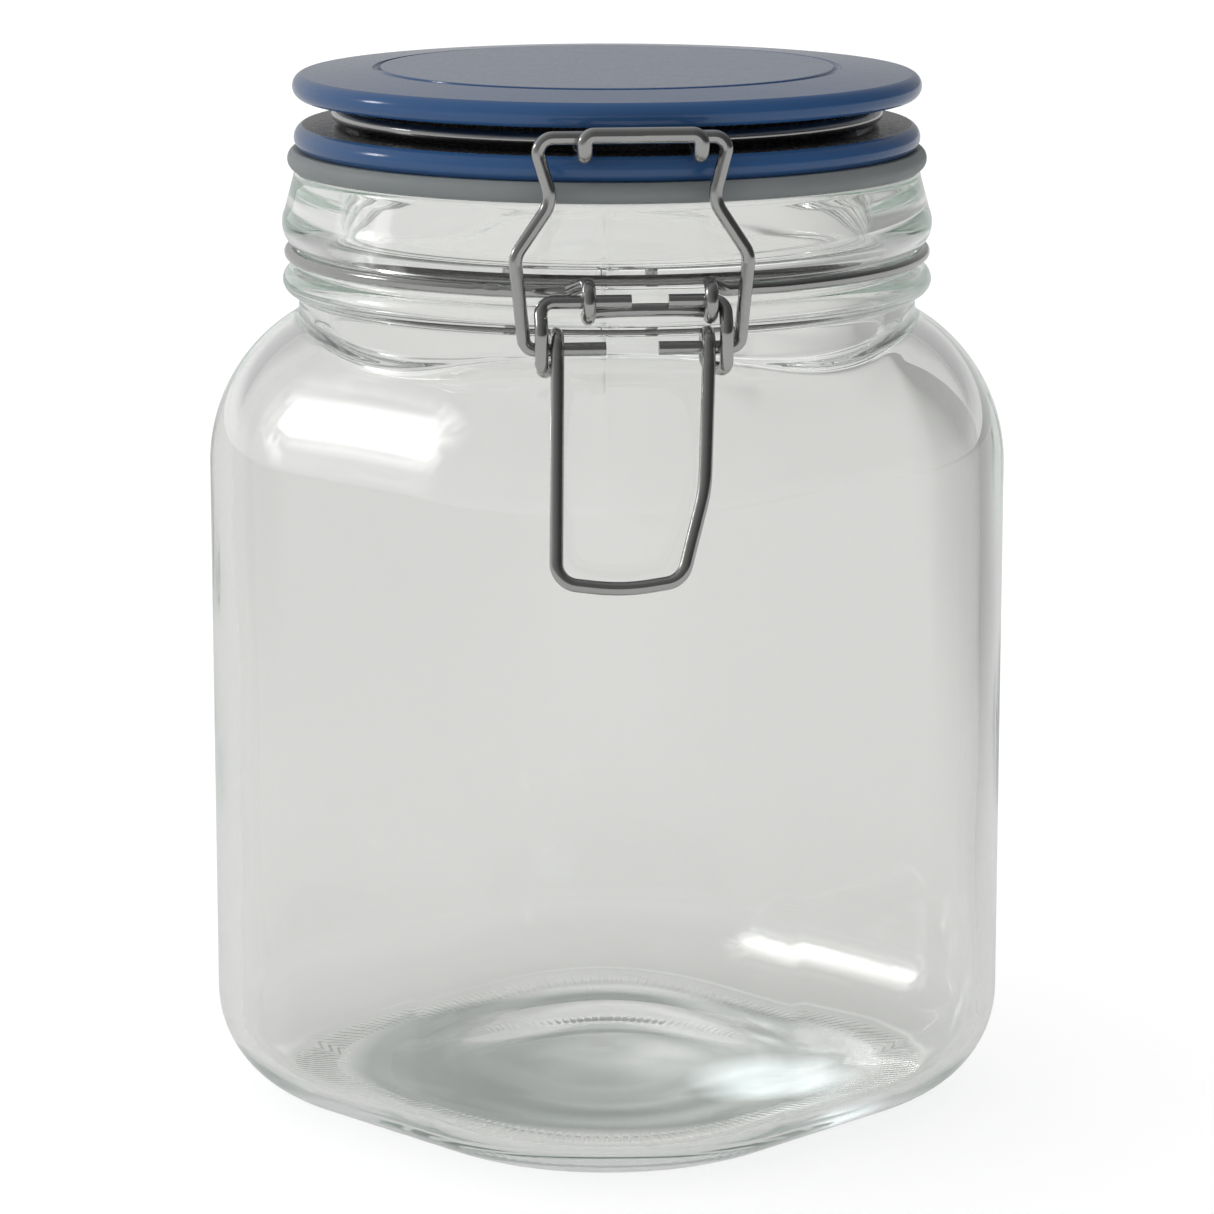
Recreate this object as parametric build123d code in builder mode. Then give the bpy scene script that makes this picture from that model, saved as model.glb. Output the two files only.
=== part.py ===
from build123d import *

import os
from math import cos, radians, sin, sqrt

# Bail clamp jar, about 1.26 litres to the brim: a pressed glass jar with a rounded-square body and a round
# neck, a two-colour plastic lid with a silicone gasket, and a wire clamp. Millimetres, +Z up. The origin is
# the centre of the base on the resting plane, and a corner of the body points along -Y, towards the clamp.
#
# The wirework shares one clamp frame, turned a little about the jar's axis: u runs across the front of the
# jar, s runs outward from the axis towards the front, and z is up.

# --- Driving dimensions: glass ---
BODY_HALF = 55.9            # half the width across the body's flats
BODY_CORNER = 41.2          # plan radius of the body's corners
BODY_TOP = 128.0            # height of the prism that the shoulder is rounded from
SHOULDER_R = 27.0
HEEL_R = 16.6
INNER_HEEL_R = 10.6
WALL = 3.4
BASE_THICKNESS = 4.4
PUNT_R = 33.0               # hollow under the base
PUNT_DEPTH = 1.6
NECK_FOOT_Z = 112.0         # both bores and the neck start below the shoulder, inside the body
MOUTH_FOOT_Z = 108.0
NECK_R = 47.8
GROOVE_R = 47.7             # groove for the neck wire, between the two beads
BEAD_R = 50.25              # both beads
LOWER_BEAD_Z = 130.1
UPPER_BEAD_Z = 138.3
RIM_R = 48.45               # the neck narrows from its upper bead to here, just under the rim
MOUTH_R = 43.0
RIM_Z = 147.0
RIM_ROUND = 1.6             # inner lip
RIM_OUTER_ROUND = 1.1

# --- Driving dimensions: lid and gasket ---
GASKET_R = 49.35
GASKET_EDGE = 0.9           # bulge of the gasket's outer edge
GASKET_BORE_R = 40.2
GASKET_Z = 147.05
PLATE_Z = 150.1             # underside of the lid's lower plate
WAIST_Z = 153.8             # floor of the channel round the lid
DISC_Z = 158.0              # underside of the upper disc
LID_TOP_Z = 162.5
PLATE_R = 47.0
BAND_R = 48.3               # widest part of the rounded band round the lower plate
BAND_LIP = 0.9              # how far the band is rounded back at its foot
WAIST_R = 38.8
PLUG_R = 39.8
PLUG_WALL = 2.4
PLUG_Z = 144.6
DISC_R = 48.45              # widest part of the disc's rounded edge
DISC_EDGE_Z = 159.5
DISC_SHOULDER = (47.1, 161.6)   # (r, z) where the rounded edge meets the top
DIAL_R = 35.5               # thin ring groove round the flat centre of the lid
DIAL_HALF_WIDTH = 0.6
DIAL_DEPTH = 0.6

# --- Driving dimensions: wirework ---
CLAMP_TURN = 5.5            # turn of the whole wire clamp about the jar's axis, degrees
WIRE_R = 1.0                # lever, bail and neck wire
LID_WIRE_R = 1.18
NECK_RING_R = 48.97
NECK_RING_Z = 134.2
EYE_BEND_R = 2.45           # bend radius of the hairpin eyelets
EYE_Z = 133.4
EYE_HALF_GAP = 8.9          # half the distance between two eyelets
FRONT_EYES_U = 1.1          # the front pair stands a little to one side
EYE_NOSE_S = 54.65          # how far the hairpins reach out
BRIDGE_R = 50.9             # short bridging wire between two eyelets
BRIDGE_Z = 131.9
LEVER_PIVOT = (52.4, 133.4)     # (s, z)
BAIL_PIVOT = (52.3, 126.5)
CATCH_BAR = (54.5, 157.7)
BAIL_BAR_S, BAIL_BAR_Z = 51.5, 157.1
HINGE_PIVOT = (-52.4, 133.4)
LID_RING_R = 41.3
LID_RING_Z = 155.5
RISER_U = 13.0              # the lid wire's two risers behind the neck
CATCH_U = 8.4               # and its two J-shaped catch hooks in front
CATCH_FOOT_Z = 154.7
LEVER_LOOP_R = 2.25         # hairpins of the lever, round the bail's stubs
LEVER_FOOT_Z = 123.5

os.makedirs("parts", exist_ok=True)


def clamp(u, s, z):
    """A point of the clamp frame in the jar's frame."""
    turn = radians(CLAMP_TURN)
    return Vector(u * cos(turn) + s * sin(turn), u * sin(turn) - s * cos(turn), z)


def bent_wire(bends, radius):
    """A round wire of one piece: bends is a list of (u, s, z, bend radius), in the clamp frame."""
    points = [clamp(u, s, z) for u, s, z, _ in bends]
    with BuildPart() as wire:
        with BuildLine() as centreline:
            FilletPolyline(*points, radius=[bend for *_, bend in bends[1:-1]])
        start = centreline.wires()[0]
        with BuildSketch(Plane(origin=start @ 0, z_dir=start % 0)):
            Circle(radius)
        sweep(path=start)
    return wire.part


def arc_bends(radius, z, first, last, step=15.0):
    """Bends of an arc for bent_wire, from angle first to last in degrees off the front."""
    count = max(1, round(abs(last - first) / step))
    half = radians(abs(last - first) / count / 2)
    corner = radius / cos(half)
    angles = [first + (last - first) * (i + 0.5) / count for i in range(count)]
    return [(corner * sin(radians(a)), corner * cos(radians(a)), z, 0.97 * radius) for a in angles]


def finish(name, label):
    """Label a finished piece and write it."""
    name.part.label = label
    export_step(name.part, f"parts/{label}.step")


# --- Glass jar ---
def body_prism(half, corner, low, high, heel, shoulder):
    """The rounded-square body, or its cavity, with its lower and upper edges rounded."""
    with BuildPart() as prism:
        with BuildSketch(Plane.XY.offset(low)):
            RectangleRounded(2 * half, 2 * half, corner, rotation=45)
        extrude(amount=high - low)
        fillet(prism.faces().sort_by(Axis.Z)[-1].edges(), shoulder)
        fillet(prism.faces().sort_by(Axis.Z)[0].edges(), heel)
    return prism.part


cavity = body_prism(
    BODY_HALF - WALL, BODY_CORNER - WALL, BASE_THICKNESS, BODY_TOP - WALL, INNER_HEEL_R, SHOULDER_R - WALL
)
outer_body = body_prism(BODY_HALF, BODY_CORNER, 0, BODY_TOP, HEEL_R, SHOULDER_R)

with BuildPart() as glass_jar:
    add(outer_body)
    # the neck: lower bead, wire groove, upper bead and rim
    with BuildSketch(Plane.XZ):
        bead_foot, bead_head = (NECK_R, LOWER_BEAD_Z - 2.1), (NECK_R + 0.2, LOWER_BEAD_Z + 1.9)
        upper_foot, upper_head = (49.1, UPPER_BEAD_Z - 2.6), (BEAD_R - 0.4, UPPER_BEAD_Z + 2.4)
        rim_corner, rim_top = (RIM_R, RIM_Z - RIM_OUTER_ROUND), (RIM_R - RIM_OUTER_ROUND, RIM_Z)
        rim_middle = RIM_OUTER_ROUND * (1 - sqrt(0.5))
        with BuildLine():
            Polyline((0, NECK_FOOT_Z), (NECK_R, NECK_FOOT_Z), bead_foot)
            ThreePointArc(bead_foot, (BEAD_R, LOWER_BEAD_Z), bead_head)
            Polyline(bead_head, (GROOVE_R, 132.5), (GROOVE_R, 135.2), upper_foot)
            ThreePointArc(upper_foot, (BEAD_R, UPPER_BEAD_Z), upper_head)
            Line(upper_head, rim_corner)
            ThreePointArc(rim_corner, (RIM_R - rim_middle, RIM_Z - rim_middle), rim_top)
            Polyline(rim_top, (0, RIM_Z), (0, NECK_FOOT_Z))
        make_face()
    revolve(axis=Axis.Z)
    add(cavity, mode=Mode.SUBTRACT)
    # the mouth, with its inner lip rounded
    with BuildSketch(Plane.XZ):
        lip_low, lip_top = (MOUTH_R, RIM_Z - RIM_ROUND), (MOUTH_R + RIM_ROUND, RIM_Z)
        lip_middle = RIM_ROUND * (1 - sqrt(0.5))
        with BuildLine():
            Polyline((0, MOUTH_FOOT_Z), (MOUTH_R, MOUTH_FOOT_Z), lip_low)
            ThreePointArc(lip_low, (MOUTH_R + lip_middle, RIM_Z - lip_middle), lip_top)
            Polyline(lip_top, (lip_top[0], RIM_Z + 2), (0, RIM_Z + 2), (0, MOUTH_FOOT_Z))
        make_face()
    revolve(axis=Axis.Z, mode=Mode.SUBTRACT)
    # the punt: a shallow dome under the base
    punt_sphere = (PUNT_R**2 + PUNT_DEPTH**2) / (2 * PUNT_DEPTH)
    with Locations((0, 0, PUNT_DEPTH - punt_sphere)):
        Sphere(punt_sphere, mode=Mode.SUBTRACT)
finish(glass_jar, "glass_jar")


# --- Lid ---
with BuildPart() as lid_disc:
    with BuildSketch(Plane.XZ):
        with BuildLine():
            disc_foot = (DISC_R - 1.05, DISC_Z)
            dial_outer = (DIAL_R + DIAL_HALF_WIDTH, LID_TOP_Z - 0.15)
            dial_inner = (DIAL_R - DIAL_HALF_WIDTH, LID_TOP_Z - 0.05)
            Polyline((0, DISC_Z), disc_foot)
            ThreePointArc(disc_foot, (DISC_R, DISC_EDGE_Z), DISC_SHOULDER)
            Line(DISC_SHOULDER, dial_outer)
            ThreePointArc(dial_outer, (DIAL_R, LID_TOP_Z - DIAL_DEPTH), dial_inner)
            Polyline(dial_inner, (DIAL_R - 1.0, LID_TOP_Z), (0, LID_TOP_Z), (0, DISC_Z))
        make_face()
    revolve(axis=Axis.Z)
finish(lid_disc, "lid_disc")

# the dark core: the waist between the two discs, the lower plate, and the plug that centres the lid
with BuildPart() as lid_core:
    with BuildSketch(Plane.XZ):
        with BuildLine():
            Polyline(
                (0, DISC_Z),
                (WAIST_R, DISC_Z),
                (WAIST_R - 0.3, WAIST_Z + 1.4),
                (WAIST_R + 0.6, WAIST_Z),
                (PLATE_R, WAIST_Z),
                (PLATE_R, PLATE_Z),
                (PLUG_R, PLATE_Z),
                (PLUG_R - 0.4, PLUG_Z + 0.6),
                (PLUG_R - 1.0, PLUG_Z),
                (PLUG_R - PLUG_WALL, PLUG_Z),
                (PLUG_R - PLUG_WALL - 0.2, PLATE_Z - 0.6),
                (0, PLATE_Z - 0.6),
                (0, DISC_Z),
            )
        make_face()
    revolve(axis=Axis.Z)
finish(lid_core, "lid_core")

with BuildPart() as lid_flange_ring:
    with BuildSketch(Plane.XZ):
        with BuildLine():
            band_foot, band_head = (BAND_R - BAND_LIP, PLATE_Z), (PLATE_R + 0.1, WAIST_Z)
            Polyline((PLATE_R, PLATE_Z), band_foot)
            ThreePointArc(band_foot, (BAND_R, (PLATE_Z + WAIST_Z) / 2 - 0.1), band_head)
            Polyline(band_head, (PLATE_R, WAIST_Z), (PLATE_R, PLATE_Z))
        make_face()
    revolve(axis=Axis.Z)
finish(lid_flange_ring, "lid_flange_ring")

with BuildPart() as gasket:
    with BuildSketch(Plane.XZ):
        with BuildLine():
            edge_r, low, high = GASKET_R - GASKET_EDGE, GASKET_Z, PLATE_Z
            Polyline((GASKET_BORE_R, low), (edge_r, low))
            ThreePointArc((edge_r, low), (GASKET_R, (low + high) / 2), (edge_r, high))
            Polyline((edge_r, high), (GASKET_BORE_R, high), (GASKET_BORE_R, low))
        make_face()
    revolve(axis=Axis.Z)
finish(gasket, "gasket")


# --- Neck wire: a ring in the neck groove with a pair of hairpin eyelets in front and another at the back ---
def eyelet_bends(u, side, way):
    """One eyelet from the bridge outward: low, round the hairpin and back high. way is 1 in front."""
    nose, low, high = way * EYE_NOSE_S, EYE_Z - EYE_BEND_R, EYE_Z + EYE_BEND_R
    inner = sqrt(BRIDGE_R**2 - EYE_HALF_GAP**2)
    return [
        (u, way * (inner + 0.25), BRIDGE_Z - 0.4, 0.9),
        (u, way * (inner + 1.7), low, 1.2),
        (u, nose, low, EYE_BEND_R - 0.02),
        (u, nose, high, EYE_BEND_R - 0.02),
        (u, way * 50.9, high, 1.0),
        (u + side * 2.6, way * 49.1, NECK_RING_Z + 0.3, 1.2),
    ]


def neck_half(side):
    """Half of the neck wire, from the middle of the front bridge to the middle of the rear bridge."""
    front_u, rear_u = FRONT_EYES_U + side * EYE_HALF_GAP, side * EYE_HALF_GAP
    bends = [(FRONT_EYES_U, BRIDGE_R, BRIDGE_Z, 0)]
    bends += [(FRONT_EYES_U + side * EYE_HALF_GAP * 0.55, BRIDGE_R + 0.02, BRIDGE_Z, 30.0)]
    bends += eyelet_bends(front_u, side, 1)
    first = 18.0 + side * FRONT_EYES_U
    bends += [(side * u, s, z, bend) for u, s, z, bend in arc_bends(NECK_RING_R, NECK_RING_Z, first, 162.0)]
    bends += reversed(eyelet_bends(rear_u, side, -1))
    bends += [(side * EYE_HALF_GAP * 0.55, -BRIDGE_R - 0.02, BRIDGE_Z, 30.0), (0, -BRIDGE_R, BRIDGE_Z, 0)]
    return bent_wire(bends, WIRE_R)


neck_halves = [neck_half(1), neck_half(-1)]
with BuildPart() as neck_wire:
    add(neck_halves)
finish(neck_wire, "neck_wire")


# --- Lid wire: rear stubs, risers, the ring in the lid's waist, and the front catch ---
def lid_wire_bends():
    """Half of the lid wire, from a rear stub round the waist to the middle of the catch bar."""
    catch_s, catch_z = CATCH_BAR
    hinge_s, hinge_z = HINGE_PIVOT
    return [
        (5.6, hinge_s, hinge_z, 0),
        (RISER_U, hinge_s, hinge_z, 2.2),
        (RISER_U, -52.3, LID_RING_Z, 2.4),
        (RISER_U, -40.6, LID_RING_Z, 3.0),
        *arc_bends(LID_RING_R, LID_RING_Z, 155.0, 18.0),
        (CATCH_U, 40.6, LID_RING_Z, 3.0),
        (CATCH_U, 47.8, LID_RING_Z - 0.1, 4.0),
        (CATCH_U, 50.2, CATCH_FOOT_Z, 4.0),
        (CATCH_U, catch_s, CATCH_FOOT_Z, 1.6),
        (CATCH_U, catch_s, catch_z, 1.3),
        (0, catch_s, catch_z, 0),
    ]


lid_wire_halves = [
    bent_wire([(side * u, s, z, bend) for u, s, z, bend in lid_wire_bends()], LID_WIRE_R) for side in (1, -1)
]
with BuildPart() as lid_wire:
    add(lid_wire_halves)
finish(lid_wire, "lid_wire")


# --- Lever handle: one wire, stub to stub ---
def lever_side(stub_u, arm_u, loop_u):
    """One side of the lever from its pivot stub, down the arm, round the foot and up over the bail's stub."""
    pivot_s, pivot_z = LEVER_PIVOT
    bail_s, bail_z = BAIL_PIVOT
    back, front, top = bail_s - LEVER_LOOP_R, bail_s + LEVER_LOOP_R, bail_z + LEVER_LOOP_R
    return [
        (stub_u, pivot_s, pivot_z, 0),
        (arm_u, pivot_s, pivot_z, 1.9),
        (arm_u, front + 0.35, bail_z + 3.0, 3.0),
        (arm_u, front + 0.05, LEVER_FOOT_Z, 1.5),
        (loop_u, back, LEVER_FOOT_Z, 1.5),
        (loop_u, back, top, LEVER_LOOP_R - 0.02),
        (loop_u, front, top, LEVER_LOOP_R - 0.02),
    ]


lever_bends = [
    *lever_side(-1.5, -14.75, -12.4),
    (-12.5, 55.2, 125.0, 12.0),
    (-13.6, 65.2, 94.6, 3.2),
    (-4.0, 65.6, 93.4, 30.0),
    (4.6, 65.2, 94.6, 3.4),
    (8.3, 61.2, 107.0, 25.0),
    (9.5, 55.2, 125.0, 12.0),
    *reversed(lever_side(3.9, 12.15, 9.6)),
]
lever_wire = bent_wire(lever_bends, WIRE_R)
with BuildPart() as lever_handle:
    add(lever_wire)
finish(lever_handle, "lever_handle")

# --- Bail loop: one wire, stub to stub ---
bail_s, bail_z = BAIL_PIVOT


def on_bail(u, z, bend):
    """A corner of the bail, in the plane from its pivot to the bar that holds the catch down."""
    s = bail_s + (BAIL_BAR_S - bail_s) * (z - bail_z) / (BAIL_BAR_Z - bail_z)
    return (u, s, z, bend)


bail_bends = [
    on_bail(-5.2, bail_z, 0),
    on_bail(-17.0, bail_z, 1.6),
    on_bail(-18.4, 140.0, 3.6),
    on_bail(-12.9, 148.0, 4.5),
    on_bail(-15.7, BAIL_BAR_Z, 2.2),
    on_bail(12.9, BAIL_BAR_Z, 1.8),
    on_bail(10.45, 148.0, 4.5),
    on_bail(15.7, 140.0, 3.6),
    on_bail(14.3, bail_z, 1.6),
    on_bail(2.5, bail_z, 0),
]
bail_wire = bent_wire(bail_bends, WIRE_R)
with BuildPart() as bail_loop:
    add(bail_wire)
finish(bail_loop, "bail_loop")
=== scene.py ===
from math import atan2, cos, pi, radians, sin, sqrt

import bpy
import numpy as np
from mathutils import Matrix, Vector


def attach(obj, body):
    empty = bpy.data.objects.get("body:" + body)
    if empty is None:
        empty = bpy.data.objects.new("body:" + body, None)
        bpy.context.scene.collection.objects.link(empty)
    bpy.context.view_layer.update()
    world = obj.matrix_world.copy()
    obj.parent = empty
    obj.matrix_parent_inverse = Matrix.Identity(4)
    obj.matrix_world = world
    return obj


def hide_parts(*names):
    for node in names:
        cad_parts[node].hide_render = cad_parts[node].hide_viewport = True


# Bail clamp jar. The CAD frame holds the wirework and the lid; the glass is rebuilt here as one dense smooth
# surface with an uneven inner face. Metres, +Z up, the clamp on the -Y side.

MM = 0.001
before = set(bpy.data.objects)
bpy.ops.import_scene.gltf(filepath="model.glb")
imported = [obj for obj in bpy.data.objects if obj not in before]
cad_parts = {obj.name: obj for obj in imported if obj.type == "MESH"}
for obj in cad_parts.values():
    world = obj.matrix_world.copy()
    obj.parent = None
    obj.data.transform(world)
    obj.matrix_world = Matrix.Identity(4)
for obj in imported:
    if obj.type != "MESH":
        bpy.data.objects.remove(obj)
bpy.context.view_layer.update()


# --- Shader graphs ---
class Graph:
    """The shader nodes of one material, lamp or world, with short ways to add to them."""

    def __init__(self, owner):
        owner.use_nodes = True
        self.nodes, self.links = owner.node_tree.nodes, owner.node_tree.links

    def feed(self, socket, value):
        """Gives a socket a number, a colour, a place, or what comes out of another socket."""
        if isinstance(value, bpy.types.NodeSocket):
            self.links.new(value, socket)
        elif socket.type == "RGBA":
            socket.default_value = (*value, 1)
        else:
            socket.default_value = value

    def add(self, kind, sockets=(), **settings):
        """A new node. sockets is a dictionary from the names or numbers of its inputs to what feeds them."""
        node = self.nodes.new("ShaderNode" + kind)
        for name, value in settings.items():
            setattr(node, name, value)
        for name, value in dict(sockets).items():
            self.feed(node.inputs[name], value)
        return node

    def object_coordinates(self):
        return self.add("TexCoord").outputs["Object"]

    def noise(self, where, scale, detail=4.0, rough=0.5, distortion=0.0):
        sockets = {"Vector": where, "Scale": scale, "Detail": detail, "Roughness": rough, "Distortion": distortion}
        return self.add("TexNoise", sockets).outputs["Fac"]

    def remap(self, value, low, high, start=0.0, end=1.0):
        """value, from low..high, spread over start..end and clamped."""
        sockets = {"Value": value, "From Min": low, "From Max": high, "To Min": start, "To Max": end}
        return self.add("MapRange", sockets).outputs["Result"]

    def math(self, operation, first, second=0.0):
        return self.add("Math", {0: first, 1: second}, operation=operation).outputs[0]

    def distance(self, where, place):
        return self.add("VectorMath", {0: where, 1: place}, operation="DISTANCE").outputs["Value"]

    def mix(self, factor, first, second, data_type="RGBA", **settings):
        sockets = {"Factor": factor, "A": first, "B": second}
        return self.add("Mix", sockets, data_type=data_type, **settings).outputs["Result"]

    def is_ray(self, kind):
        """1 for one kind of ray, such as "Glossy", and 0 for the others."""
        return self.add("LightPath").outputs[f"Is {kind} Ray"]

    def axes(self, vector):
        """The X, Y and Z outputs of a vector."""
        return self.add("SeparateXYZ", {"Vector": vector}).outputs

    def bump(self, shader, height, strength, distance):
        """Adds one more bump on top of those the shader already has."""
        node = self.add("Bump", {"Height": height, "Strength": strength, "Distance": distance})
        for link in shader.inputs["Normal"].links:
            self.feed(node.inputs["Normal"], link.from_socket)
        self.feed(shader.inputs["Normal"], node.outputs["Normal"])


def new_material(name, sockets):
    """A node material with one Principled shader whose inputs are set; returns (material, graph, shader)."""
    material = bpy.data.materials.new(name)
    graph = Graph(material)
    shader = graph.nodes["Principled BSDF"]
    for socket, value in sockets.items():
        graph.feed(shader.inputs[socket], value)
    return material, graph, shader


# --- Materials ---
def lets_through(graph, surface, ray, colour):
    """surface, but clear to one kind of ray, so that lamps and the pale floor light what is behind the glass."""
    clear = graph.add("BsdfTransparent", {"Color": colour})
    sockets = {"Fac": graph.is_ray(ray), 1: surface, 2: clear.outputs["BSDF"]}
    return graph.add("MixShader", sockets).outputs["Shader"]


def glass_material():
    """Pressed soda glass: clear, faintly green, with soft ripples in its surface."""
    material, graph, shader = new_material("pressed_glass", {
        "Base Color": (0.968, 0.970, 0.962),
        "Roughness": 0.0,
        "IOR": 1.5,
        "Transmission Weight": 1.0,
    })
    graph.bump(shader, graph.noise(graph.object_coordinates(), 38.0, detail=1.0), 0.10, 0.0006)
    surface = lets_through(graph, shader.outputs["BSDF"], "Shadow", (0.97, 0.97, 0.97))
    surface = lets_through(graph, surface, "Diffuse", (0.975, 0.975, 0.975))
    depth = graph.add("VolumeAbsorption", {"Color": (0.80, 0.89, 0.84), "Density": 7.0})
    output = graph.nodes["Material Output"]
    graph.feed(output.inputs["Surface"], surface)
    graph.feed(output.inputs["Volume"], depth.outputs["Volume"])
    return material


def plastic_material(name, colour, worn, roughness, ripple=0.12):
    """Moulded gloss plastic: slightly uneven colour and gloss, fine scuffs, and paler worn edges."""
    material, graph, shader = new_material(name, {"IOR": 1.5})
    where = graph.object_coordinates()
    cloud = graph.noise(where, 35.0, detail=3.0)
    scuff = graph.noise(where, 900.0, detail=6.0, rough=0.7, distortion=2.0)
    edge = graph.remap(graph.add("NewGeometry").outputs["Pointiness"], 0.52, 0.60)
    tone = graph.mix(cloud, tuple(c * 0.93 for c in colour), tuple(c * 1.07 for c in colour))
    graph.feed(shader.inputs["Base Color"], graph.mix(graph.math("MULTIPLY", edge, 0.2), tone, worn))
    graph.feed(shader.inputs["Roughness"], graph.remap(scuff, 0.35, 0.75, roughness, roughness + 0.12))
    graph.bump(shader, graph.noise(where, 180.0, detail=2.0), ripple, 0.0002)
    graph.bump(shader, scuff, 0.3 * ripple, 0.00005)
    return material


def silicone_material():
    """Milky grey silicone rubber that light enters."""
    material, graph, shader = new_material("silicone", {
        "IOR": 1.41,
        "Transmission Weight": 0.35,
        "Subsurface Weight": 0.4,
        "Subsurface Radius": (0.002, 0.002, 0.002),
    })
    where = graph.object_coordinates()
    cloud = graph.noise(where, 60.0, detail=3.0)
    fine = graph.noise(where, 1500.0, detail=3.0)
    graph.feed(shader.inputs["Base Color"], graph.mix(cloud, (0.21, 0.23, 0.235), (0.27, 0.29, 0.295)))
    graph.feed(shader.inputs["Roughness"], graph.remap(fine, 0.3, 0.7, 0.38, 0.5))
    graph.bump(shader, fine, 0.12, 0.00005)
    return material


def steel_material():
    """Bright drawn steel wire, with fine draw marks and slightly uneven in tone."""
    material, graph, shader = new_material("drawn_steel", {"Metallic": 1.0})
    where = graph.object_coordinates()
    cloud = graph.noise(where, 120.0, detail=4.0)
    fine = graph.noise(where, 700.0, detail=3.0)
    graph.feed(shader.inputs["Base Color"], graph.mix(cloud, (0.42, 0.42, 0.415), (0.52, 0.52, 0.51)))
    graph.feed(shader.inputs["Roughness"], graph.remap(fine, 0.3, 0.7, 0.13, 0.20))
    graph.bump(shader, fine, 0.01, 0.00001)
    return material


GLASS = glass_material()
BLUE = plastic_material("blue_plastic", (0.021, 0.062, 0.155), (0.12, 0.19, 0.32), 0.1)
# Near-black for the lid's core, the spool that fills the groove between disc and flange.
DARK = plastic_material("dark_plastic", (0.028, 0.025, 0.024), (0.06, 0.055, 0.05), 0.22, ripple=0.04)
SILICONE = silicone_material()
STEEL = steel_material()

NODE_MATERIALS = {
    "lid_disc": BLUE,
    "lid_flange_ring": BLUE,
    "lid_core": DARK,
    "gasket": SILICONE,
    "neck_wire": STEEL,
    "lid_wire": STEEL,
    "lever_handle": STEEL,
    "bail_loop": STEEL,
}
for node_name, node_material in NODE_MATERIALS.items():
    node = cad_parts[node_name]
    node.data.materials.clear()
    node.data.materials.append(node_material)
    node.data.shade_smooth()


# --- The glass: its sizes are in millimetres ---
SPOKES = 360                    # points round each ring; the foot has twice as many, for its knurling
BODY_HALF, BODY_CORNER, BODY_TOP = 55.9, 41.2, 128.0
SHOULDER_R, HEEL_R, WALL = 27.0, 16.6, 3.4
NECK_R, NECK_Z, GROOVE_R, GROOVE_LOW, GROOVE_HIGH = 47.8, 127.2, 47.7, 132.8, 134.8
BEAD_R, LOWER_BEAD_Z, UPPER_BEAD_Z = 50.25, 130.1, 138.3
RIM_R, RIM_Z, RIM_ROUND, RIM_FLAT_R = 48.45, 147.0, 1.1, 46.0
MOUTH_R, MOUTH_LOW, MOUTH_HIGH = 43.0, 126.0, 144.0
BASE_THICKNESS, INNER_HEEL_R, FLOOR_CROWN = 4.4, 10.6, 0.5
PUNT_R, PUNT_DEPTH = 33.0, 1.6
NECK_BLEND, MOUTH_BLEND = 1.2, 5.0      # how softly the shoulder meets the neck, outside and inside
KNURLS, KNURL_DEPTH = 180, 0.22
SEAM_HEIGHT, SEAM_HALF_ANGLE = 0.16, radians(0.32)
SEAM_LOW, SEAM_FADE = 108.0, 14.0


def spokes(count):
    """Angles of the spokes; the ones beside the two mould seams, on -Y and +Y, are drawn in close to them."""
    angles = np.arange(count) * 2 * pi / count
    for seam in (count // 4, 3 * count // 4):
        angles[seam - 1] = angles[seam] - SEAM_HALF_ANGLE
        angles[seam + 1] = angles[seam] + SEAM_HALF_ANGLE
    return angles


COARSE, FINE = spokes(SPOKES), spokes(2 * SPOKES)


def round_ring(radius):
    return np.full(SPOKES, radius)


def rounded_square(angles, half, corner):
    """Distance from the axis, at each angle, to a rounded square whose corners lie on the X and Y axes."""
    off_flat = np.abs((angles % (pi / 2)) - pi / 4)
    centre = half - corner
    straight = half / np.cos(off_flat)
    lean = centre * (np.cos(off_flat) - np.sin(off_flat))
    rounded = centre * (np.cos(off_flat) + np.sin(off_flat)) + np.sqrt(np.maximum(corner**2 - lean**2, 0))
    return np.where(np.tan(off_flat) * half <= centre, straight, rounded)


def smooth_max(a, b, k):
    h = np.clip(0.5 + (a - b) / (2 * k), 0, 1)
    return a * h + b * (1 - h) + k * h * (1 - h)


def body_radius(angles, z, half, corner, low, high, heel, shoulder):
    """The body's radius at each angle at height z, between its heel and shoulder roundings."""
    if z < low + heel:
        rise, rounding = low + heel - z, heel
    elif z > high - shoulder:
        rise, rounding = z - (high - shoulder), shoulder
    else:
        rise, rounding = 0, 0
    inset = rounding - sqrt(max(rounding**2 - rise**2, 0))
    return rounded_square(angles, half - inset, corner - inset)


def outer_radius(angles, z):
    return body_radius(angles, z, BODY_HALF, BODY_CORNER, 0, BODY_TOP, HEEL_R, SHOULDER_R)


def inner_radius(z):
    half, corner, top = BODY_HALF - WALL, BODY_CORNER - WALL, BODY_TOP - WALL
    return body_radius(COARSE, z, half, corner, BASE_THICKNESS, top, INNER_HEEL_R, SHOULDER_R - WALL)


def seam_ridge(z):
    """The mould seams, which show on the neck and fade out down the shoulder."""
    ridge = np.zeros(SPOKES)
    ridge[[SPOKES // 4, 3 * SPOKES // 4]] = SEAM_HEIGHT * min(max((z - SEAM_LOW) / SEAM_FADE, 0), 1)
    return ridge


def knurled_height(share, z):
    """The foot stands on short knurls: between them its face is raised. share is how deep the knurling is."""
    along = np.arange(2 * SPOKES) * KNURLS / (2 * SPOKES) * 2 * pi
    return z + share * KNURL_DEPTH * (0.5 + 0.5 * np.cos(along))


def heel_height(turn):
    """How high the outer heel has risen once it has turned this far from flat."""
    return HEEL_R * (1 - cos(turn))


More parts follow.
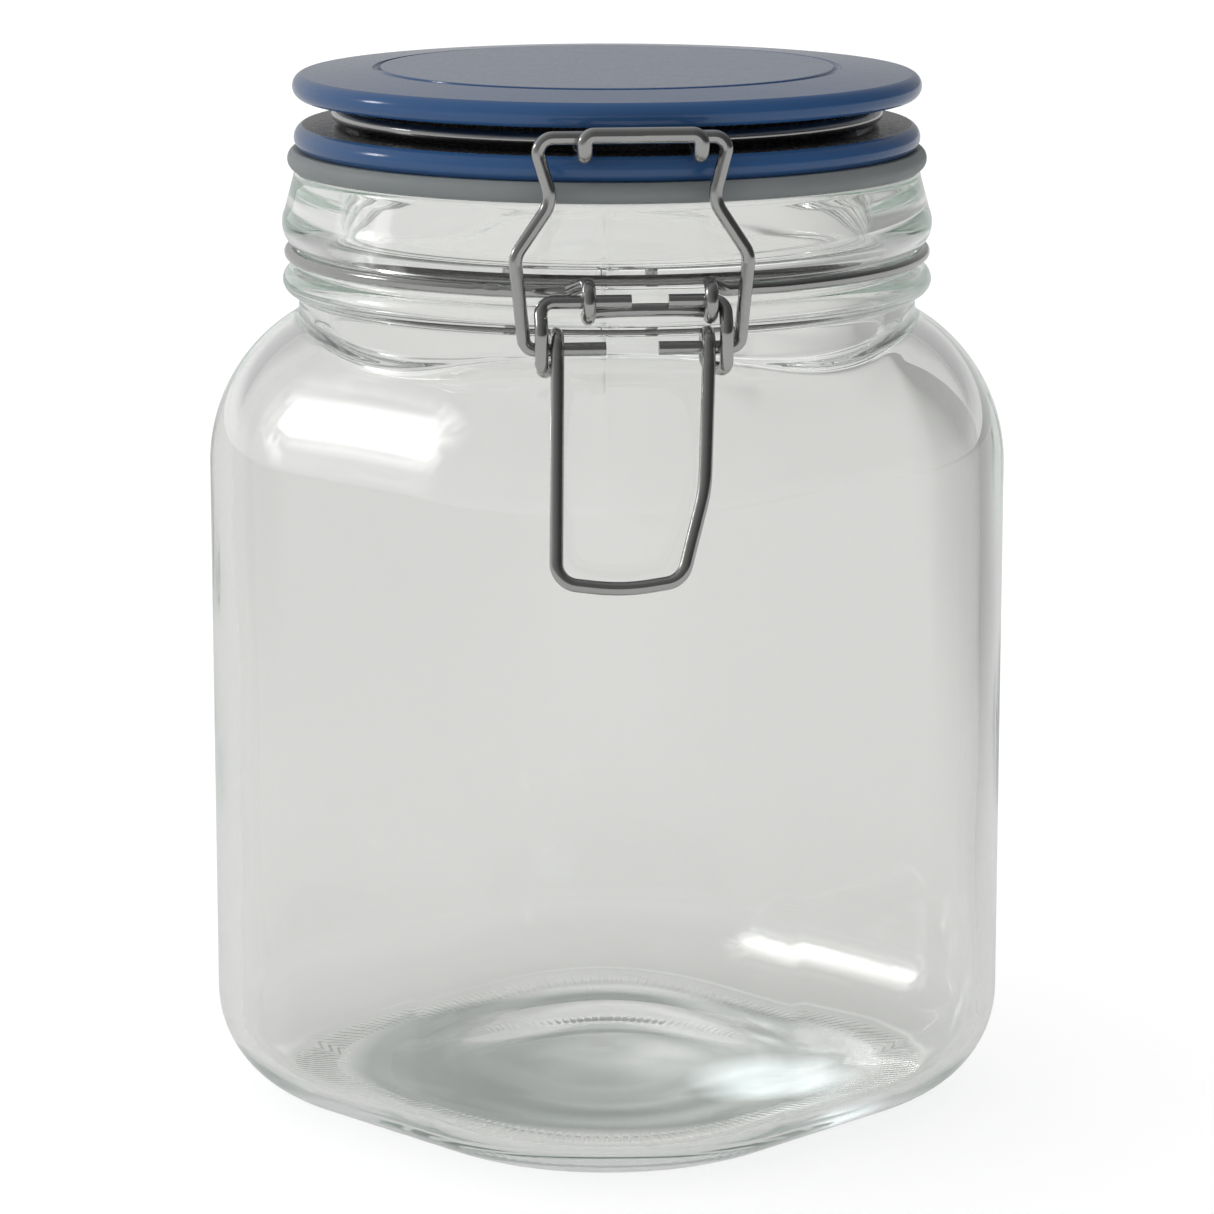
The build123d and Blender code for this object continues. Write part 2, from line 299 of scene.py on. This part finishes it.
def outer_rings():
    """Rings of the outer face, from the middle of the base to the rim, as (radius, z)."""
    rings = [(round_ring(r), PUNT_DEPTH * (1 - (r / PUNT_R) ** 2)) for r in np.linspace(1.5, PUNT_R, 14)]
    foot = outer_radius(FINE, 0)
    # outward goes from the punt's edge to the foot's, and turn up the heel; the knurling fades in and out
    for outward, share in ((0.25, 0.0), (0.5, 0.0), (0.74, 0.0), (0.82, 1.0), (1.0, 1.0)):
        rings.append((PUNT_R + (foot - PUNT_R) * outward, knurled_height(share, 0)))
    for turn, share in ((0.10, 1.0), (0.18, 0.7), (0.25, 0.0)):
        rings.append((outer_radius(FINE, heel_height(turn)), knurled_height(share, heel_height(turn))))
    for turn in np.linspace(0.33, pi / 2, 15)[:-1]:
        rings.append((outer_radius(COARSE, heel_height(turn)), heel_height(turn)))
    shoulder = BODY_TOP - SHOULDER_R
    for z in [*np.linspace(HEEL_R, shoulder, 20)[:-1], *np.linspace(shoulder, BODY_TOP - 1.5, 46)]:
        rings.append((smooth_max(outer_radius(COARSE, z), round_ring(NECK_R), NECK_BLEND) + seam_ridge(z), z))
    for r, z in neck_outline():
        rings.append((round_ring(r) + seam_ridge(z) * (z < RIM_Z - 1), z))
    return rings


def arc_through(start, middle, end, count):
    """Points on the circle through three (r, z) points, from start to end."""
    (ax, ay), (bx, by), (cx, cy) = start, middle, end
    d = 2 * (ax * (by - cy) + bx * (cy - ay) + cx * (ay - by))
    ux = ((ax**2 + ay**2) * (by - cy) + (bx**2 + by**2) * (cy - ay) + (cx**2 + cy**2) * (ay - by)) / d
    uy = ((ax**2 + ay**2) * (cx - bx) + (bx**2 + by**2) * (ax - cx) + (cx**2 + cy**2) * (bx - ax)) / d
    radius = sqrt((ax - ux) ** 2 + (ay - uy) ** 2)
    first, mid, last = (atan2(y - uy, x - ux) for x, y in (start, middle, end))
    sweep = (last - first + pi) % (2 * pi) - pi
    if ((mid - first + pi) % (2 * pi) - pi) * sweep < 0:
        sweep -= 2 * pi * np.sign(sweep)
    return [(ux + radius * cos(first + sweep * t), uy + radius * sin(first + sweep * t))
            for t in np.linspace(0, 1, count)]


def neck_outline():
    """(r, z) of the neck's outside: lower bead, wire groove, upper bead, and the taper to the rim."""
    middle = RIM_ROUND * (1 - sqrt(0.5))
    upper_head, rim_corner = (BEAD_R - 0.4, UPPER_BEAD_Z + 2.4), (RIM_R, RIM_Z - RIM_ROUND)
    taper = [[a + (b - a) * t for a, b in zip(upper_head, rim_corner)] for t in (0.25, 0.5, 0.75)]
    return [
        (NECK_R, NECK_Z),
        *arc_through((NECK_R + 0.05, LOWER_BEAD_Z - 2.1), (BEAD_R, LOWER_BEAD_Z), (48.0, GROOVE_LOW - 0.8), 12),
        (GROOVE_R + 0.08, GROOVE_LOW - 0.45),
        (GROOVE_R, GROOVE_LOW),
        (GROOVE_R, GROOVE_HIGH),
        (GROOVE_R + 0.15, GROOVE_HIGH + 0.4),
        (GROOVE_R + 0.8, GROOVE_HIGH + 0.65),
        *arc_through((49.1, UPPER_BEAD_Z - 2.6), (BEAD_R, UPPER_BEAD_Z), upper_head, 12),
        *taper,
        *arc_through(rim_corner, (RIM_R - middle, RIM_Z - middle), (RIM_R - RIM_ROUND, RIM_Z), 8),
        (RIM_FLAT_R, RIM_Z),
    ]


def waviness(z, share=1.0):
    """Slow unevenness of the pressed inner face."""
    return share * (
        0.10 * np.sin(3 * COARSE + 0.031 * z + 0.6)
        + 0.07 * np.sin(5 * COARSE - 0.047 * z + 2.1) * sin(0.06 * z + 1.0)
        + 0.04 * np.sin(11 * COARSE + 0.08 * z) * sin(0.11 * z)
    )


def inner_rings():
    """Rings of the inner face, from the rim down to the middle of the floor."""
    rim_inside = arc_through((MOUTH_R + 1.6, RIM_Z), (MOUTH_R + 0.47, RIM_Z - 0.47), (MOUTH_R, RIM_Z - 1.6), 8)
    rings = [(round_ring(r), z) for r, z in rim_inside]
    for z in np.linspace(MOUTH_HIGH, MOUTH_LOW, 8):
        rings.append((round_ring(MOUTH_R) + waviness(z, 0.3), z))
    shoulder, heel = BODY_TOP - SHOULDER_R, BASE_THICKNESS + INNER_HEEL_R
    for z in [*np.linspace(MOUTH_LOW - 1.6, shoulder, 36), *np.linspace(shoulder, heel, 26)[1:]]:
        wall = smooth_max(inner_radius(z), round_ring(MOUTH_R), MOUTH_BLEND)
        rings.append((wall + waviness(z, min(1, 0.3 + (MOUTH_LOW - z) / 30)), z))
    for turn in np.linspace(pi / 2, 0, 16)[1:]:
        z = BASE_THICKNESS + INNER_HEEL_R * (1 - cos(turn))
        rings.append((inner_radius(z) + waviness(z, sin(turn)), z))
    for t in np.linspace(0.95, 0.04, 26):
        swirl = 0.10 * sin(9.0 * t * (1 + t)) + 0.05 * np.sin(2 * COARSE + 7 * t) * t
        height = BASE_THICKNESS + FLOOR_CROWN * (1 - t**2) + swirl * (1 - t**6)
        rings.append((inner_radius(BASE_THICKNESS) * t, height))
    return rings


def joining_faces(m, n, a, b):
    """Faces from a ring of m points that starts at point a to one of n that starts at b: quads where m and n are
    the same, and triangles where one is twice the other."""
    faces = []
    for i in range(min(m, n)):
        j = (i + 1) % min(m, n)
        if m == n:
            faces.append((a + i, a + j, b + j, b + i))
        elif m < n:
            half = b + 2 * i + 1
            faces += [(a + i, half, b + 2 * i), (a + i, a + j, half), (a + j, b + 2 * j, half)]
        else:
            half = a + 2 * i + 1
            faces += [(b + i, a + 2 * i, half), (b + i, half, b + j), (b + j, half, a + 2 * j)]
    return faces


def glass_mesh():
    """Both faces as one closed skin, ring by ring, closed by a fan in the middle of the base and of the floor."""
    rings = outer_rings() + inner_rings()
    points, starts = [(0, 0, PUNT_DEPTH)], []
    for radius, z in rings:
        angles = COARSE if len(radius) == SPOKES else FINE
        starts.append(len(points))
        points += zip(radius * np.cos(angles), radius * np.sin(angles), np.broadcast_to(z, radius.shape))
    top = len(points)
    points.append((0, 0, BASE_THICKNESS + FLOOR_CROWN))
    faces = [(0, starts[0] + (i + 1) % SPOKES, starts[0] + i) for i in range(SPOKES)]
    faces += [(starts[-1] + i, starts[-1] + (i + 1) % SPOKES, top) for i in range(SPOKES)]
    for (low, _), (high, _), a, b in zip(rings, rings[1:], starts, starts[1:]):
        faces += joining_faces(len(low), len(high), a, b)
    mesh = bpy.data.meshes.new("jar_glass")
    mesh.from_pydata((np.array(points) * MM).tolist(), [], faces)
    mesh.validate()
    mesh.shade_smooth()
    return mesh


glass = bpy.data.objects.new("jar_glass", glass_mesh())
bpy.context.scene.collection.objects.link(glass)
glass.data.materials.append(GLASS)
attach(glass, "jar")
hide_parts("glass_jar")


# --- Floor, light and camera ---
KEY_PLACE = (-0.92, 0.08, 0.47)
FLOOR_R = 12
FLOOR_WHITES = ((0.95, 0.95, 0.95), (0.96, 0.96, 0.96))
# Painted shade: the floor's colour is greyer where gloss reflects it and where glass shows it.
FLOOR_SHADE_IN_GLOSS = (0.56, 0.56, 0.56)
FLOOR_SHADE_THROUGH_GLASS = (0.65, 0.65, 0.64)
# Painted shadow: a dark disc in the floor's colour where the jar stands, seen through the glass.
PAINTED_SHADOW_UNDER_JAR = (0.27, 0.30, 0.285)
PAINTED_SHADOW_FADE = (0.037, 0.041)         # the radii over which one gives way to the other
# Painted shade: seen through glass, the floor's colour greys to each side, darkest on the right.
SIDE_SHADE_REACH = 0.35
SIDE_SHADE_STOPS = ((-0.17, 0.97), (-0.09, 1.0), (0.09, 1.0), (0.17, 0.78), (0.33, 0.48))      # (x, grey)
# Painted light: a soft glowing patch in the floor's emission, on the right, for the light that the jar's side
# gathers.
PAINTED_GLOW_PLACE, PAINTED_GLOW_FADE = (0.026, -0.008, 0), (0.014, 0.006)
PAINTED_GLOW_COLOUR, PAINTED_GLOW_STRENGTH = (0.86, 0.97, 1.0), 0.9
BACKDROP_GLOW, ROOM_GLOW = 1.2, 0.77
GLOSS_GLOW = (0.16, 0.46)               # in front and behind
SIDE_SHARE = (1.8, 0.2)                 # of the glow, on the left and on the right
GLASS_GLOW = (0.745, 0.42)              # at the horizon and above it
TOP_SHARE = 0.3
CAMERA_PITCH, CAMERA_DISTANCE, CAMERA_AIM_Z = radians(11.756), 0.7743, 0.07733
SENSOR_WIDTH, LENS = 36.0, 145.77
BOUNCES = 128                   # light in the thick heel and rim runs a long way inside the glass


def softbox(name, place, aim, size, power, feather=0.3, only=None, cloudy=0.0):
    """A softbox with feathered edges, for gloss and glass; the even room lights the rest. only is what it lights,
    and cloudy breaks its glow up, as a window seen through a curtain."""
    light = bpy.data.lights.new(name, "AREA")
    light.shape = "RECTANGLE"
    light.size, light.size_y = size
    light.energy = power
    graph = Graph(light)
    across = graph.add("NewGeometry").outputs["Parametric"]
    fades = []
    for axis in ("X", "Y"):
        off_middle = graph.math("ABSOLUTE", graph.math("SUBTRACT", graph.axes(across)[axis], 0.5))
        fades.append(graph.remap(off_middle, 0.5, 0.5 - feather))
    glow = graph.math("MULTIPLY", *fades)
    if cloudy:
        folds = graph.noise(across, 3.2, detail=2.0, distortion=0.6)
        glow = graph.math("MULTIPLY", glow, graph.remap(folds, 0.40, 0.58, 1 - cloudy, 1.0))
    graph.feed(graph.nodes["Emission"].inputs["Strength"], glow)
    lamp = bpy.data.objects.new(name, light)
    lamp.location = place
    lamp.rotation_euler = (Vector(aim) - Vector(place)).to_track_quat("-Z", "Y").to_euler()
    lamp.visible_diffuse = False
    bpy.context.scene.collection.objects.link(lamp)
    if only:
        lit = bpy.data.collections.new(name + "_lights")
        lit.objects.link(only)
        lamp.light_linking.receiver_collection = lit


def floor_through_glass(graph, where):
    """The floor's tone as glass shows it, all painted shade: a little greyer, a painted shadow where the jar
    stands, and painted side shade that greys it to each side, darker on the right. The jar's edges and neck show
    them."""
    # painted shadow: the floor darkens where the jar stands
    shadow_share = graph.remap(graph.distance(where, (0, 0, 0)), *PAINTED_SHADOW_FADE)
    tone = graph.mix(shadow_share, PAINTED_SHADOW_UNDER_JAR, FLOOR_SHADE_THROUGH_GLASS)
    # painted shade: greyer to each side of the jar, darkest on the right
    side_shade = graph.add("ValToRGB", {"Fac": graph.remap(graph.axes(where)["X"], -SIDE_SHADE_REACH, SIDE_SHADE_REACH)})
    while len(side_shade.color_ramp.elements) < len(SIDE_SHADE_STOPS):
        side_shade.color_ramp.elements.new(0.5)
    for element, (x, grey) in zip(side_shade.color_ramp.elements, SIDE_SHADE_STOPS):
        element.position = (x + SIDE_SHADE_REACH) / (2 * SIDE_SHADE_REACH)
        element.color = (grey, grey, grey, 1)
    return graph.mix(1.0, tone, side_shade.outputs["Color"], blend_type="MULTIPLY")


def floor_material():
    """A matt white floor, painted greyer in gloss and through glass, with painted light: a soft glowing patch in
    its emission on the right that stands in for the light the jar's side gathers."""
    material, graph, shader = new_material("floor_white", {
        "Roughness": 0.9,
        "Specular IOR Level": 0.1,
        "Emission Color": PAINTED_GLOW_COLOUR,
    })
    where = graph.object_coordinates()
    tone = graph.mix(graph.noise(where, 3.0), *FLOOR_WHITES)
    # painted shade: the floor is greyer where gloss reflects it
    tone = graph.mix(graph.is_ray("Glossy"), tone, FLOOR_SHADE_IN_GLOSS)
    # painted shade: the floor as glass shows it, greyer, with a painted shadow and painted side shade
    tone = graph.mix(graph.is_ray("Transmission"), tone, floor_through_glass(graph, where))
    graph.feed(shader.inputs["Base Color"], tone)
    # painted light: the floor glows in a soft patch on the right
    painted_glow = graph.remap(graph.distance(where, PAINTED_GLOW_PLACE), *PAINTED_GLOW_FADE, 0.0, PAINTED_GLOW_STRENGTH)
    graph.feed(shader.inputs["Emission Strength"], painted_glow)
    return material


def build_stage():
    bpy.ops.mesh.primitive_circle_add(vertices=96, radius=FLOOR_R, fill_type="NGON", location=(0, 0, 0))
    floor = bpy.context.object
    floor.name = "floor"
    floor.data.materials.append(floor_material())
    softbox("key", KEY_PLACE, aim=(0, 0, 0.1), size=(0.60, 0.80), power=15, feather=0.5, only=glass, cloudy=0.8)
    softbox("glint", KEY_PLACE, aim=(0, 0, 0.15), size=(0.16, 0.20), power=1.6)
    softbox("back_right", (0.055, 0.90, 0.285), aim=(0.02, 0, 0.01), size=(0.30, 0.26), power=0.30, feather=0.5,
            only=glass)


def build_world():
    """A white backdrop in a greyer room, lit from the left. For gloss it is also darker in front, and seen through
    glass it darkens upward, which draws the beads of the neck and the base."""
    world = bpy.data.worlds.new("studio")
    bpy.context.scene.world = world
    graph = Graph(world)
    along = graph.axes(graph.add("TexCoord").outputs["Generated"])

    def pick(ray, otherwise, chosen):
        """chosen for one kind of ray and otherwise for the rest; each is a number or a socket."""
        return graph.mix(graph.is_ray(ray), otherwise, chosen, data_type="FLOAT")

    room = pick("Diffuse", ROOM_GLOW, BACKDROP_GLOW)
    gloss = pick("Singular", graph.remap(along["Y"], -0.6, 0.8, *GLOSS_GLOW), ROOM_GLOW)
    side = graph.remap(along["X"], -1, 1, *SIDE_SHARE)
    lit_from_left = graph.math("MULTIPLY", pick("Glossy", room, gloss), side)
    low = graph.remap(along["Z"], 0.04, 0.15, *GLASS_GLOW)
    through_glass = graph.math("MULTIPLY", low, graph.remap(along["Z"], 0.35, 0.6, 1.0, TOP_SHARE))
    seen = pick("Camera", pick("Transmission", lit_from_left, through_glass), BACKDROP_GLOW)
    graph.feed(graph.nodes["Background"].inputs["Strength"], seen)
    graph.feed(graph.nodes["Background"].inputs["Color"], (1, 1, 1))


def build_camera():
    """The jar is seen corner-on, from a little above its lid."""
    camera = bpy.data.cameras.new("camera")
    camera.sensor_width = SENSOR_WIDTH
    camera.lens = LENS
    camera.clip_start, camera.clip_end = 0.01, 50.0
    seat = bpy.data.objects.new("camera", camera)
    height = CAMERA_AIM_Z + CAMERA_DISTANCE * sin(CAMERA_PITCH)
    seat.location = (0, -CAMERA_DISTANCE * cos(CAMERA_PITCH), height)
    seat.rotation_euler = (pi / 2 - CAMERA_PITCH, 0, 0)
    bpy.context.scene.collection.objects.link(seat)
    bpy.context.scene.camera = seat


build_stage()
build_world()
build_camera()
scene = bpy.context.scene
scene.view_settings.view_transform = "Standard"
for limit in ("max_bounces", "glossy_bounces", "transmission_bounces", "transparent_max_bounces"):
    setattr(scene.cycles, limit, BOUNCES)
